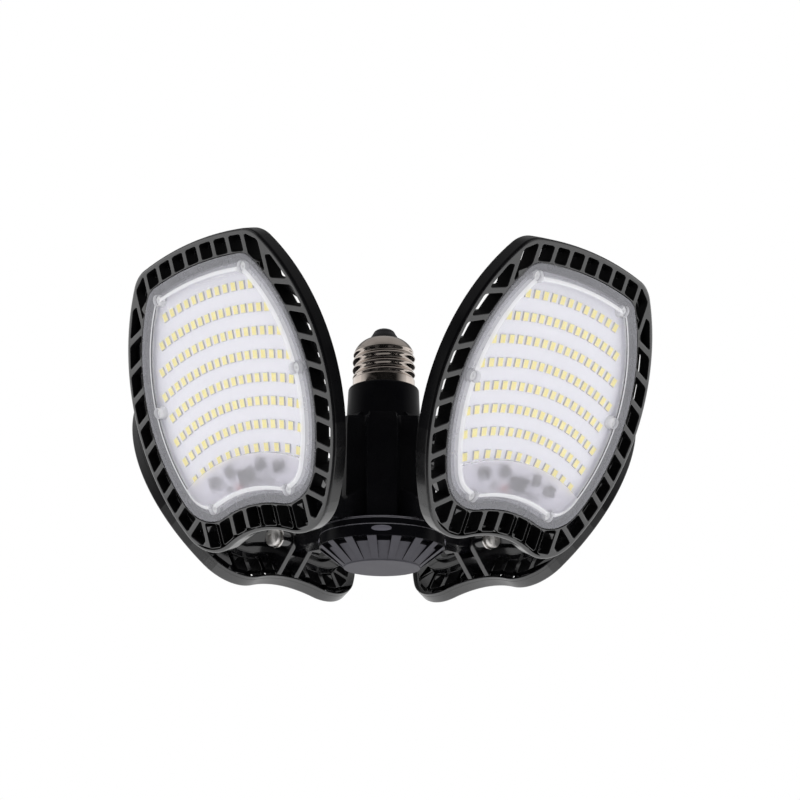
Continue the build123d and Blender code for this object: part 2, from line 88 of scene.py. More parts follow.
# Collar, lower ring and bottom cap
collar_top_radius = 15.0
collar_foot_radius = 15.7
collar_height = 16.2
collar_shoulder = 1.3
collar_wall = 2.4
collar_roof = 3.4
collar_gusset_reach = 2.6
collar_gusset_height = 2.4
collar_gusset_width = 6.0
spigot_height = 6.5
hub_height = 44.7
ring_radius = 26.0
ring_height = 8.2
ring_wall = 2.6
ring_step = 0.4
ring_step_heights = (0.6, 2.7)
ring_lip = 8.0
ring_lip_thickness = 2.4
ring_bump_width = 8.2
ring_bump_height = 2.6
ring_bump_drop = 5.4
ring_bump_rise = 0.4
ring_bump_sink = 0.3
cap_inset = 0.3
cap_height = 8.3
cap_disc_radius = 15.8
cap_disc_rise = 0.7
cap_wall = 2.0
cap_clearance = 0.15
cap_spigot_height = 3.0
cap_groove_height = 1.3
cap_groove_depth = 2.9
cap_rib_count = 16
cap_rib_top_width = 3.9
cap_rib_foot_width = 2.8
cap_rib_turn = 2.5
cap_rib_back = 1.2
cap_rib_bevel = 0.1

# Leaf: u along the hinge, v up the leaf, w out of its front, all from the hinge axis
hinge_radius = 52.4
hinge_drop = 58.3
face_depth = 19.3
board_depth = 16.6
board_back = 15.0
fan_centre = -60.0
leaf_middle = 45.0
leaf_half_width = 57.4
leaf_side_radius = 86.0
leaf_top = 106.2
leaf_notch = -9.2
leaf_corner = 14.0
leaf_lobe = 20.5
rim_back = 12.8
floor_back = 12.4
tray_back = 9.6
lens_side_inset = 9.8
lens_top_inset = 9.2
lens_notch_inset = 10.8
lens_corner = 10.0
lens_lobe = 19.0
lens_gap = 0.25
lens_flange = 5.0
lens_bevel = 1.4
lens_flange_front = 19.6
lens_ledge = 18.0
lens_front = 20.4
lens_under = 19.0
board_pocket_inset = 2.9
tray_border = 0.6
fin_thickness = 1.6
wire_box_reach = 81.0
wire_box_step = 1.4
wire_box_inset = 4.0
screw_post_radius = 2.8
slot_width = 6.2
slot_pitch = 8.6
slot_outer_margin = 2.2
slot_step_margin = 3.7
slot_step_depth = 15.2
slot_inner_margin = 0.9
rim_edge_round = 1.25
rim_edge_steps = 6
face_bevel = 0.35
cast_bevel = 0.3
plate_overlap = 0.8
overlap = 0.4
foot_overlap = 0.6
seam = 0.05
slot_round = 0.8
corner_marks = [[(-28.6, -2.4), (-28.3, -5.0), (-25.3, -2.7)], [(-33.2, 90.6), (-36.4, 88.6), (-35.4, 86.4)]]
corner_mark_depth = 1.2
corner_mark_round = 0.3
top_slot_count = 9
bottom_slot_count = 7
side_slot_count = 10
side_slot_pitch = 9.6
side_slot_web = 2.3
side_slot_first = 146.0
side_slot_end_gap = 8.5
board_screw_places = [(26.1, 89.7), (41.4, 46.6), (22.0, 3.6)]
boss_radius = 2.8
board_screw_radius = 1.25
board_screw_head_radius = 2.2
board_screw_seat = 17.3
board_screw_head_height = 1.3
board_screw_tip = 11.2
led_width = 2.8
led_length = 3.5
led_height = 0.75
led_border = 0.1
led_chamfer = 0.08
led_recess = 0.12
led_side_share = 0.6
led_first_radius = 145.0
led_row_pitch = 8.9
led_rows = [(12, 26.2), (16, 32.0), (17, 35.7), (18, 37.5), (17, 36.0), (18, 36.8), (16, 34.4), (12, 30.8)]
frosted_reach = 81.0
leaf_map_size = 200.0
driver_chips = [(-18.7, 13.4, 5.6, 4.4, 1.5), (0.6, 12.6, 8.2, 6.0, 1.9), (19.0, 13.2, 5.6, 4.4, 1.5)]
driver_cans = [(-8.6, 16.0, 2.6, 1.7), (9.7, 15.7, 2.6, 1.7)]
driver_resistors = [(-5.6, 9.4), (-11.6, 9.8), (8.0, 9.6), (12.6, 9.2)]
resistor_size = (3.2, 1.6, 0.6)
chip_leg_count = 4
chip_leg_size = (0.8, 0.45, 0.35)
chip_leg_reach = 0.3

# Hinge
cheek_inner = 3.7
cheek_thickness = 2.5
cheek_radius = 4.4
cheek_foot_low = -8.8
cheek_foot_high = 15.0
seat_radius = 3.5
seat_height = 5.7
pivot_radius = 2.0
pivot_clearance = 0.05
pivot_head_radius = 4.0
pivot_head_height = 2.6
flat_washer_radius = 4.4
flat_washer_height = 0.8
spring_washer_radius = 3.5
spring_washer_height = 1.2
spring_washer_gap = 14.0
spring_washer_play = 0.05
nut_across_flats = 7.0
nut_height = 3.2
pivot_tail = 1.0
bridge_low = -3.6
bridge_high = 10.0
bridge_room = 4.9

# Screw heads: shares of the head's radius and height
head_wall_share = 0.35
recess_shares = (0.5, 0.35)
recess_foot = (0.45, 0.12)
recess_mouth = (1.0, 0.17)
recess_turn = 0.1
board_screw_turn = 37.0

# Walls of the leaf frame: how far a normal may rise, and the turns at which the outer walls gain gloss; this
# gloss is painted shade, less on walls turned away from -Y
wall_slope = 0.7
slot_wall_inset = 1.0
skirt_shade_turns = (0.25, 0.37, 0.49, 0.61, 0.73)

# Each leaf's direction round the axis, its tilt from upright and the side of its screw head
leaves = {
    "front_left": (225.0, 20.0, -1),
    "front_right": (315.0, 25.9, 1),
    "back_left": (135.0, 31.5, 1),
    "back_right": (45.0, 31.2, -1),
}

hub_top = -collar_height
hub_bottom = hub_top - hub_height
cap_top = hub_bottom - ring_height
cheek_outer = cheek_inner + cheek_thickness
seat_face = cheek_outer + seat_height
pivot_bore = pivot_radius + pivot_clearance
square_corners = ((1, 1), (-1, 1), (-1, -1), (1, -1))


# Mesh helpers
def new_object(name, data):
    thing = bpy.data.objects.new(name, data)
    bpy.context.collection.objects.link(thing)
    return thing


def settled_mesh(holder):
    """An object's mesh with its modifiers applied. The object is dropped."""
    depsgraph = bpy.context.evaluated_depsgraph_get()
    mesh = bpy.data.meshes.new_from_object(holder.evaluated_get(depsgraph))
    bpy.data.objects.remove(holder)
    return mesh


def loose_mesh(bm):
    """Turns a bmesh into a mesh with its faces outwards."""
    bmesh.ops.recalc_face_normals(bm, faces=bm.faces)
    mesh = bpy.data.meshes.new("loose")
    bm.to_mesh(mesh)
    bm.free()
    return mesh


def finished(fill, *values, sharp_angle=32.0):
    """The smooth-shaded mesh in metres of what a function adds to a bmesh in millimetres."""
    bm = bmesh.new()
    fill(bm, *values)
    bmesh.ops.scale(bm, vec=(MM, MM, MM), verts=bm.verts)
    mesh = loose_mesh(bm)
    for polygon in mesh.polygons:
        polygon.use_smooth = True
    mesh.set_sharp_from_angle(angle=radians(sharp_angle))
    return mesh


def add_mesh(bm, mesh, matrix=Matrix.Identity(4), material=0):
    """Adds a mesh to a bmesh, with its material indices raised, and drops the mesh."""
    mesh.transform(matrix)
    for polygon in mesh.polygons:
        polygon.material_index += material
    bm.from_mesh(mesh)
    bpy.data.meshes.remove(mesh)


def join_rows(bm, rows, material=0):
    """Walls between rows of vertices, each row a closed ring of the same length."""
    for low, high in zip(rows, rows[1:]):
        for step in range(len(low)):
            after = (step + 1) % len(low)
            bm.faces.new((low[step], low[after], high[after], high[step])).material_index = material


def close_rows(bm, rows):
    """Walls between rows of vertices, with a face over each end."""
    join_rows(bm, rows)
    bm.faces.new(rows[0][::-1])
    bm.faces.new(rows[-1])


def ring_rows(bm, rings):
    return [[bm.verts.new((x, y, depth)) for x, y in loop] for loop, depth in rings]


def polar(radius, angle, centre=(0.0, 0.0)):
    return (centre[0] + radius * cos(angle), centre[1] + radius * sin(angle))


def turns(steps, start=0.0, end=2 * pi):
    """Angles from a start towards an end, which is left out."""
    return [start + (end - start) * step / steps for step in range(steps)]


def signed_area(loop):
    return sum(a[0] * b[1] - b[0] * a[1] for a, b in zip(loop, loop[1:] + loop[:1])) / 2


def add_plate(bm, loops, low, high, bevel=0.0, matrix=Matrix.Identity(4)):
    """A plate between two depths: the first loop is its outline and the others are holes, with rounded edges.

    It is filled at an angle and turned back, since the fill may miss faces where points share a height.
    """
    spin = Matrix.Rotation(0.37, 4, "Z")
    curve = bpy.data.curves.new("plate", "CURVE")
    curve.dimensions = "2D"
    curve.fill_mode = "BOTH"
    curve.extrude = (high - low) / 2 - bevel
    curve.bevel_depth = bevel
    curve.bevel_resolution = 2
    curve.offset = -bevel
    for place, loop in enumerate(loops):
        turned_right = signed_area(loop) < 0
        points = loop if turned_right == (place == 0) else loop[::-1]
        spline = curve.splines.new("POLY")
        spline.points.add(len(points) - 1)
        for point, (x, y) in zip(spline.points, points):
            point.co = (*(spin @ Vector((x, y, 0))), 1)
        spline.use_cyclic_u = True
    mesh = settled_mesh(new_object("plate", curve))
    bpy.data.curves.remove(curve)
    add_mesh(bm, mesh, matrix @ Matrix.Translation((0, 0, (low + high) / 2)) @ spin.inverted())


def add_lathe(bm, profile, segments, matrix=Matrix.Identity(4)):
    """A surface turned about Z from (radius, height) points. Points on the axis close it."""
    rings = []
    for radius, height in profile:
        angles = turns(segments) if radius > 1e-6 else [0.0]
        rings.append([bm.verts.new(matrix @ Vector((*polar(radius, a), height))) for a in angles])
    for low, high in zip(rings, rings[1:]):
        for step in range(segments):
            after = (step + 1) % segments
            corners = [low[step % len(low)], low[after % len(low)],
                       high[after % len(high)], high[step % len(high)]]
            corners = list(dict.fromkeys(corners))
            if len(corners) > 2:
                bm.faces.new(corners)


def add_box(bm, centre, size, bevel, material=0):
    """A box standing on its base centre, with bevelled edges."""
    middle = Vector(centre) + Vector((0, 0, size[2] / 2))
    cube = bmesh.new()
    bmesh.ops.create_cube(cube, size=1.0, matrix=Matrix.Translation(middle) @ Matrix.Diagonal((*size, 1)))
    bmesh.ops.bevel(cube, geom=cube.edges, offset=bevel, segments=2, profile=0.5, affect="EDGES")
    add_mesh(bm, loose_mesh(cube), material=material)


def arc(centre, radius, start, end, steps):
    """Points along an arc between two angles in radians, its end left out."""
    return [polar(radius, angle, centre) for angle in turns(steps, start, end)]


def circle_loop(centre, radius, steps=32):
    return arc(centre, radius, 0, 2 * pi, steps)


def corner_curve(before, corner, after, radius, steps):
    """Points of a curve that cuts a corner, from one of its sides to the other."""
    corner = Vector(corner)
    start, end = [corner + (Vector(side) - corner).normalized() * radius for side in (before, after)]
    shares = [step / steps for step in range(steps + 1)]
    return [tuple(start * (1 - t) ** 2 + corner * 2 * t * (1 - t) + end * t ** 2) for t in shares]


def rounded(points, radius, steps=5):
    """A polygon with its corners rounded."""
    corners = zip(points[-1:] + points[:-1], points, points[1:] + points[:1])
    return [point for corner in corners for point in corner_curve(*corner, radius, steps)]


def round_profile(points, radii, steps=5):
    """An open (radius, height) profile with its corners rounded."""
    profile = [points[0]]
    for *corner, radius in zip(points, points[1:], points[2:], radii):
        profile += corner_curve(*corner, radius, steps)
    return profile + [points[-1]]


def apply_boolean(mesh, tool, operation):
    """The mesh joined with, or cut by, a tool mesh."""
    body = new_object("body", mesh)
    cutter = new_object("cutter", tool)
    modifier = body.modifiers.new("cut", "BOOLEAN")
    modifier.operation = operation
    modifier.solver = "EXACT"
    modifier.object = cutter
    result = settled_mesh(body)
    bpy.data.objects.remove(cutter)
    for spent in (mesh, tool):
        bpy.data.meshes.remove(spent)
    return result


# Leaf outlines
def meeting(centre_a, radius_a, centre_b, radius_b):
    """Where two circles meet, on the right."""
    a, b = Vector(centre_a), Vector(centre_b)
    gap = b - a
    along = (gap.length_squared + radius_a ** 2 - radius_b ** 2) / (2 * gap.length)
    across = sqrt(radius_a ** 2 - along ** 2)
    direction = gap.normalized()
    side = Vector((-direction.y, direction.x))
    places = [a + direction * along + side * across, a + direction * along - side * across]
    return max(places, key=lambda p: p.x)


def angle_of(start, end):
    return atan2(end[1] - start[1], end[0] - start[0])


def fan_point(radius, angle):
    """A place by its distance from the fan centre and its angle from upright."""
    return (radius * sin(angle), fan_centre + radius * cos(angle))


def fan_reach(place):
    return hypot(place[0], place[1] - fan_centre)


def leaf_outline(grow, side_inset, top_inset, notch_inset, corner, lobe):
    """Two side arcs, a top arc and a notch about the fan centre, joined by tangent arcs."""
    fan = (0.0, fan_centre)
    side = (leaf_half_width - leaf_side_radius, leaf_middle)
    side_radius = leaf_side_radius - side_inset + grow
    top_radius = leaf_top - top_inset + grow - fan_centre
    notch = leaf_notch + notch_inset - grow
    notch_radius = notch - fan_centre
    corner += grow
    lobe += grow
    corner_at = meeting(fan, top_radius - corner, side, side_radius - corner)
    lobe_at = meeting(fan, notch_radius + lobe, side, side_radius - lobe)
    right = arc(fan, top_radius, pi / 2, angle_of(fan, corner_at), 16)
    right += arc(corner_at, corner, angle_of(fan, corner_at), angle_of(side, corner_at), 12)
    right += arc(side, side_radius, angle_of(side, corner_at), angle_of(side, lobe_at), 36)
    inward = angle_of(lobe_at, fan)
    right += arc(lobe_at, lobe, angle_of(side, lobe_at), inward, 18)
    right += arc(fan, notch_radius, inward + pi, pi / 2, 16)
    right.append((0.0, notch))
    left = [(-u, v) for u, v in right[1:-1]][::-1]
    return right + left


def rim_outline(grow=0.0):
    return leaf_outline(grow, 0.0, 0.0, 0.0, leaf_corner, leaf_lobe)


def lens_outline(grow=0.0):
    return leaf_outline(grow, lens_side_inset, lens_top_inset, lens_notch_inset, lens_corner, lens_lobe)


def crossing(loop, measure, wanted):
    """The first place on a loop where a measure of its points passes zero and the place is wanted."""
    for a, b in zip(loop, loop[1:] + loop[:1]):
        here, there = measure(a), measure(b)
        if here == 0 or here * there < 0:
            t = here / (here - there) if here else 0.0
            place = (a[0] + (b[0] - a[0]) * t, a[1] + (b[1] - a[1]) * t)
            if wanted(place):
                return place
    return None


def rounded_square(round_s, round_t, steps=4):
    """Points round a unit square with rounded corners, as (s, t) pairs."""
    corners = [(1 - round_s, 1 - round_t, 0), (round_s, 1 - round_t, 90), (round_s, round_t, 180),
               (1 - round_s, round_t, 270)]
    points = []
    for s, t, turn in corners:
        for step in range(steps + 1):
            angle = radians(turn + 90 * step / steps)
            points.append((s + round_s * cos(angle), t + round_t * sin(angle)))
    return points


def slot_between(low, high, stretch, ends, place):
    """A slot from low to high with rounded corners, between the two ends that every step has.

    The stretch turns a distance between the ends into a length.
    """
    near, far = ends((low + high) / 2)
    round_t = min(0.4, slot_round / abs(far - near) / stretch)
    loop = []
    for s, t in rounded_square(slot_round / (high - low), round_t):
        across = low + (high - low) * s
        near, far = ends(across)
        loop.append(place(across, near + (far - near) * t))
    return loop


def upright_slot(inner, outer, middle, upper):
    """A slot with upright sides, between the lens border and the rim."""

    def ends(u):
        return [crossing(loop, lambda p: p[0] - u, lambda p: (p[1] > leaf_middle) == upper)[1]
                for loop in (inner, outer)]

    return slot_between(middle - slot_width / 2, middle + slot_width / 2, 1.0, ends, lambda u, v: (u, v))


def side_slot(inner, outer, low, high, least, mirror):
    """A slot along an arc about the fan centre, beyond the least distance from the leaf's middle."""

    def ends(radius):
        near, far = [crossing(loop, lambda p: fan_reach(p) - radius, lambda p: p[0] > least)
                     for loop in (inner, outer)]
        start = asin(near[0] / radius) if near else asin(least / radius)
        return start, asin(far[0] / radius)

    def place(radius, angle):
        u, v = fan_point(radius, angle)
        return (mirror * u, v)

    return slot_between(low, high, (low + high) / 2, ends, place)


def slot_loops(outer_margin):
    """All the slots of a rim plate, up to a margin from its outline."""
    inner = lens_outline(slot_inner_margin)
    outer = rim_outline(-outer_margin)
    loops = []
    for count, upper in ((top_slot_count, True), (bottom_slot_count, False)):
        for place in range(count):
            loops.append(upright_slot(inner, outer, (place - (count - 1) / 2) * slot_pitch, upper))
    for place in range(side_slot_count):
        low = side_slot_first - place * side_slot_pitch + side_slot_web / 2
        high = low + (side_slot_pitch - side_slot_web if place else side_slot_end_gap)
        count = bottom_slot_count if place else top_slot_count
        least = ((count - 1) * slot_pitch + slot_width) / 2 + side_slot_web
        for mirror in (1, -1):
            loops.append(side_slot(inner, outer, low, high, least, mirror))
    return loops


def screw_points():
    return [(side * u, v) for u, v in board_screw_places for side in (-1, 1)]


# Leaf pieces, built about the hinge axis with X as u, Y as v and Z as w
def clipped_fin(radius):
    """A fin along an arc about the fan centre, across the back of the tray."""
    tray = lens_outline(tray_border)
    edges = []
    for r in (radius - fin_thickness / 2, radius + fin_thickness / 2):
        place = crossing(tray, lambda p: fan_reach(p) - r, lambda p: p[0] > 20)
        reach = atan2(place[0], place[1] - fan_centre)
        edges.append([fan_point(r, reach * (step / 20 - 1)) for step in range(41)])
    return edges[0] + edges[1][::-1]


def low_end(outline):
    """The part of an outline within the wire box's reach, closed by an arc about the fan centre."""
    inside = [place for place in outline if fan_reach(place) < wire_box_reach]
    edge = atan2(inside[0][0], inside[0][1] - fan_centre)
    return inside + [fan_point(wire_box_reach, edge * (step / 12 - 1)) for step in range(25)]


def cheek_loop():
    """Outline of a hinge cheek in the v, w plane: a round end with tangents to its foot on the frame."""
    feet = [(cheek_foot_low, rim_back + foot_overlap), (cheek_foot_high, tray_back + foot_overlap)]
    angles = [atan2(w, v) + turn * acos(cheek_radius / hypot(v, w)) for (v, w), turn in zip(feet, (1, -1))]
    end = angles[1] + 2 * pi if angles[1] < angles[0] else angles[1]
    round_end = arc((0, 0), cheek_radius, angles[0], end, 28)
    return [feet[0]] + round_end + [feet[1], (cheek_foot_high, rim_back + foot_overlap)]


def add_rim(bm):
    """The slotted rim: a front plate, its rounded outer edge and a back plate with shorter slots."""
    marks = [rounded(mark, corner_mark_round) for mark in corner_marks]
    marks += [[(-u, v) for u, v in mark] for mark in marks]
    low = slot_step_depth - plate_overlap
    openings = [lens_outline(lens_gap)] + slot_loops(slot_outer_margin) + marks
    add_plate(bm, [rim_outline(face_bevel - rim_edge_round - seam)] + openings, low, face_depth, face_bevel)
    edge = [(rim_outline(-rim_edge_round * (1 - cos(turn))), face_depth - rim_edge_round * (1 - sin(turn)))
            for turn in turns(rim_edge_steps, 0, pi / 2) + [pi / 2]]
    inner = rim_outline(-rim_edge_round - seam)
    rows = ring_rows(bm, [(rim_outline(), low)] + edge + [(inner, face_depth), (inner, low)])
    join_rows(bm, rows + rows[:1])
    openings = [lens_outline(lens_gap + seam)] + slot_loops(slot_step_margin)
    add_plate(bm, [rim_outline(-seam)] + openings, rim_back, slot_step_depth, cast_bevel)
    for mark in marks:
        add_plate(bm, [mark], rim_back, face_depth - corner_mark_depth)


def shade_walls(bm):
    """Gives the slots' walls one material, painted shade that makes them darker and matte, and the outer
    walls a row of them by the walls' direction, painted shade that dulls the walls turned away from -Y.
    """
    inside = rim_outline(-slot_wall_inset)
    bmesh.ops.recalc_face_normals(bm, faces=bm.faces)
    for face in bm.faces:
        if abs(face.normal.z) >= wall_slope:
            continue
        passed = sum(-face.normal.y > turn for turn in skirt_shade_turns)
        # Walls inside the rim: painted shade, darker and matte.
        if within(inside, face.calc_center_median()):
            face.material_index = 1
        # Outer walls: painted shade, duller the further they turn away from -Y.
        elif passed < len(skirt_shade_turns):
            face.material_index = 2 + passed


def add_frame(bm):
    add_rim(bm)
    shade_walls(bm)
    tray = lens_outline(tray_border)
    add_plate(bm, [tray, lens_outline(-board_pocket_inset)], board_back - 0.2, lens_ledge)
    add_plate(bm, [tray], floor_back, board_back, 0.1)
    raised = [clipped_fin(side_slot_first - place * side_slot_pitch) for place in range(side_slot_count - 1)]
    raised += [circle_loop(place, screw_post_radius) for place in screw_points()]
    for loop in raised + [low_end(tray)]:
        add_plate(bm, [loop], tray_back, floor_back + overlap, cast_bevel)
    wire_box = low_end(lens_outline(-wire_box_inset))
    add_plate(bm, [wire_box], tray_back - wire_box_step, tray_back + overlap, cast_bevel)
    to_cheek = Matrix(((0, 0, 1, 0), (1, 0, 0, 0), (0, 1, 0, 0), (0, 0, 0, 1)))
    bore = circle_loop((0, 0), pivot_bore, 24)
    for low, high in ((cheek_inner, cheek_outer), (-cheek_outer, -cheek_inner)):
        add_plate(bm, [cheek_loop(), bore], low, high, cast_bevel, to_cheek)
    bridge = [(bridge_low, rim_back + overlap), (bridge_low, bridge_room)]
    bridge += arc((0, 0), bridge_room, pi / 2, 0, 12)
    bridge += [(bridge_room, 0), (bridge_high, 0), (bridge_high, rim_back + overlap)]
    add_plate(bm, [bridge], -cheek_inner - overlap, cheek_inner + overlap, 0.0, to_cheek)
    seat = [circle_loop((0, 0), seat_radius, 40), bore]
    for low, high in ((cheek_outer - cast_bevel, seat_face), (-seat_face, cast_bevel - cheek_outer)):
        add_plate(bm, seat, low, high, 0.2, to_cheek)


def add_loft(bm, rings):
    """Walls between rings of equal length, closed at both ends."""
    close_rows(bm, ring_rows(bm, rings))


def within(loop, place):
    """Whether a place lies inside a loop, by counting the loop's sides to its right."""
    count = 0
    for a, b in zip(loop, loop[1:] + loop[:1]):
        if (a[1] > place.y) != (b[1] > place.y):
            if place.x < a[0] + (place.y - a[1]) / (b[1] - a[1]) * (b[0] - a[0]):
                count += 1
    return count % 2 == 1


def rods_mesh(radius, low, high):
    """A rod at each board screw."""
    bm = bmesh.new()
    for place in screw_points():
        add_loft(bm, [(circle_loop(place, radius), depth) for depth in (low, high)])
    return loose_mesh(bm)


def on_boss(face):
    """Whether a face of the lens belongs to one of its screw bosses."""
    for u, v in screw_points():
        reach = max(hypot(corner.co.x - u, corner.co.y - v) for corner in face.verts)
        if reach < boss_radius + 0.2:
            return True
    return False


def add_lens(bm):
    """A clear lens: a flat flange on the ledge, a raised window and six bosses for screws."""
    step = lens_front - lens_flange_front
    insets = [(lens_flange + 1.6, lens_under), (lens_flange + 1.2, lens_under - 0.1),
              (lens_flange - 0.4, lens_ledge), (0.2, lens_ledge), (0.0, lens_ledge + 0.2),
              (0.0, lens_flange_front - 0.45), (0.13, lens_flange_front - 0.13), (0.45, lens_flange_front),
              (lens_flange, lens_flange_front), (lens_flange + 0.25, lens_flange_front + step * 0.3),
              (lens_flange + lens_bevel - 0.4, lens_front - 0.1),
              (lens_flange + lens_bevel + 0.2, lens_front)]
    solid = bmesh.new()
    add_loft(solid, [(lens_outline(-inset), depth) for inset, depth in insets])
    lens = loose_mesh(solid)
    rods = [(boss_radius, board_depth, lens_under + 0.5, "UNION"),
            (board_screw_head_radius + 0.1, board_screw_seat, lens_front + 1, "DIFFERENCE"),
            (board_screw_radius + 0.1, board_depth - 1, lens_front, "DIFFERENCE")]
    for *rod, operation in rods:
        lens = apply_boolean(lens, rods_mesh(*rod), operation)
    add_mesh(bm, lens)
    window = lens_outline(-lens_flange - lens_bevel)
    flange = lens_outline(-lens_flange)
    # The window's bevel wall and the bosses take the near-white third material: a painted highlight.
    for face in bm.faces:
        middle = face.calc_center_median()
        if on_boss(face):
            face.material_index = 2
        elif not within(flange, middle):
            face.material_index = 1
        elif not within(window, middle):
            face.material_index = 2
    leaf_map = bm.loops.layers.uv.new("leaf")
    for face in bm.faces:
        for loop in face.loops:
            loop[leaf_map].uv = loop.vert.co.xy / leaf_map_size


def add_leds(bm):
    """White packages with sides painted grey as painted shade, and a recessed phosphor face, in rows about
    the fan centre.
    """
    levels = [(0.0, 0.0), (0.0, led_height * led_side_share), (led_chamfer, led_height),
              (led_border, led_height), (led_border + led_chamfer, led_height - led_recess)]
    rings = [([(x * (led_width / 2 - inset), y * (led_length / 2 - inset)) for x, y in square_corners], depth)
             for inset, depth in levels]
    for row, (count, half_span) in enumerate(led_rows):
        radius = led_first_radius - row * led_row_pitch
        for place in range(count):
            turn = asin(half_span * (2 * place / (count - 1) - 1) / radius)
            spot = Matrix.Translation((*fan_point(radius, turn), board_depth))
            rows = ring_rows(bm, rings)
            bmesh.ops.transform(bm, matrix=spot @ Matrix.Rotation(-turn, 4, "Z"), verts=sum(rows, []))
            # The side walls take the grey: painted shade.
            join_rows(bm, rows[:3], 2)
            join_rows(bm, rows[2:])
            bm.faces.new(rows[0][::-1])
            bm.faces.new(rows[-1]).material_index = 1


def add_driver(bm):
    """Chips with legs, round cans and resistors, the first of them red."""
    for u, v, width, length, height in driver_chips:
        add_box(bm, (u, v, board_depth), (width, length, height), 0.2)
        for side in (-1, 1):
            for leg in range(chip_leg_count):
                along = (leg - (chip_leg_count - 1) / 2) * length / chip_leg_count
                place = (u + side * (width / 2 + chip_leg_reach), v + along, board_depth)
                add_box(bm, place, chip_leg_size, 0.05, 1)
    for u, v, radius, height in driver_cans:
        profile = round_profile([(0, 0), (radius, 0), (radius, height), (0, height)], (0.1, 0.4))
        add_lathe(bm, profile, 32, Matrix.Translation((u, v, board_depth)))
    for place, (u, v) in enumerate(driver_resistors):
        add_box(bm, (u, v, board_depth), resistor_size, 0.1, 2 if place == 0 else 0)


def recess_bar(radius, depth):
    """One bar of the cross in a screw head, from a mouth above height 0 to a foot below it."""
    bm = bmesh.new()
    add_loft(bm, [([(x * radius * wide, y * radius * thick) for x, y in square_corners], height)
                  for (wide, thick), height in ((recess_foot, -depth), (recess_mouth, depth))])
    return loose_mesh(bm)


def pan_head(head_radius, head_height, shank_radius, shank_length):
    """A screw with a domed head above height 0, a cross recess and a shank below."""
    bm = bmesh.new()
    wall = head_height * head_wall_share
    dome = [(head_radius * cos(a), wall + (head_height - wall) * sin(a)) for a in turns(8, 0, pi / 2)]
    shank = [(0, -shank_length), (shank_radius, -shank_length), (shank_radius, 0), (head_radius, 0)]
    add_lathe(bm, shank + dome + [(0, head_height)], 40)
    screw = loose_mesh(bm)
    for turn in (recess_turn, recess_turn + pi / 2):
        bar = recess_bar(head_radius * recess_shares[0], head_height * recess_shares[1])
        bar.transform(Matrix.Translation((0, 0, head_height)) @ Matrix.Rotation(turn, 4, "Z"))
        screw = apply_boolean(screw, bar, "DIFFERENCE")
    return screw


def add_board_screws(bm):
    for place, (u, v) in enumerate(screw_points()):
        screw = pan_head(board_screw_head_radius, board_screw_head_height, board_screw_radius,
                         board_screw_seat - board_screw_tip)
        turn = Matrix.Rotation(radians(board_screw_turn * place), 4, "Z")
        add_mesh(bm, screw, Matrix.Translation((u, v, board_screw_seat)) @ turn)


def along_hinge(start, side):
    """Sets a piece built on +Z on the hinge axis, from a start on it towards the screw head's side."""
    return Matrix.Translation((side * start, 0, 0)) @ Matrix.Rotation(side * pi / 2, 4, "Y")


def add_hinge_screw(bm, side):
    head_seat = seat_face + flat_washer_height + spring_washer_height
    tail = seat_face + nut_height + pivot_tail
    screw = pan_head(pivot_head_radius, pivot_head_height, pivot_radius, head_seat + tail)
    add_mesh(bm, screw, along_hinge(head_seat, side))


def add_flat_washer(bm, side):
    high = flat_washer_height
    points = [(pivot_bore, high / 2), (pivot_bore, 0), (flat_washer_radius, 0), (flat_washer_radius, high),
              (pivot_bore, high), (pivot_bore, high / 2)]
    profile = round_profile(points, (0.08, 0.15, 0.15, 0.08), 3)
    add_lathe(bm, profile, 48, along_hinge(seat_face, side))


def add_spring_washer(bm, side):
    """A split ring whose ends stand a little apart."""
    matrix = along_hinge(seat_face + flat_washer_height, side)
    outer = spring_washer_radius
    low = spring_washer_play
    high = spring_washer_height - spring_washer_play
    corners = [(pivot_bore, low), (outer, low), (outer, high), (pivot_bore, high)]
    start = radians(spring_washer_gap) / 2
    end = 2 * pi - start
    close_rows(bm, [[bm.verts.new(matrix @ Vector((*polar(radius, a), height))) for radius, height in corners]
                    for a in turns(60, start, end) + [end]])


def add_hinge_nut(bm, side):
    """A hexagon nut with rounded corners."""
    hexagon = circle_loop((0, 0), nut_across_flats / sqrt(3), 6)
    bore = circle_loop((0, 0), pivot_bore)
    matrix = along_hinge(-seat_face - nut_height, side)
    add_plate(bm, [rounded(hexagon, 0.5), bore], 0, nut_height, 0.35, matrix)


# Hub pieces
def add_screw_shell(bm):
    """A rolled shell with a rounded right-hand thread, a plain rim and a domed shoulder."""
    angles = turns(120)
    start = rim_height * 0.9
    end = thread_top + thread_overrun
    rows = []
    for height in [0.0, shell_rim_edge] + [start + (end - start) * step / 70 for step in range(71)]:
        grow_in = min(max((height - start) / thread_run_in, 0.0), 1.0)
        fade_out = min(max((end - height) / thread_run_out, 0.0), 1.0)
        base = rim_radius + (thread_mean - rim_radius) * grow_in - (1 - fade_out) * thread_end_drop
        swing = thread_swing * grow_in * fade_out
        phase = 2 * pi * (height - thread_phase) / thread_pitch + pi
        rows.append([bm.verts.new((*polar(base + swing * cos(phase - a), a), height)) for a in angles])
    shoulder = round_profile([(thread_mean - thread_end_drop, end), (shoulder_radius, shoulder_height),
                              (neck_radius, neck_height)], (shoulder_round,), 12)
    neck_inside = neck_radius - shell_wall
    rim_inside = rim_radius - 2 * shell_wall
    inside = [(neck_inside, neck_height), (neck_inside, neck_height - 1.5), (rim_inside, thread_top - 1.0),
              (rim_inside, 0.0)]
    for radius, height in shoulder[1:] + inside:
        rows.append([bm.verts.new((*polar(radius, a), height)) for a in angles])
    join_rows(bm, rows + rows[:1])


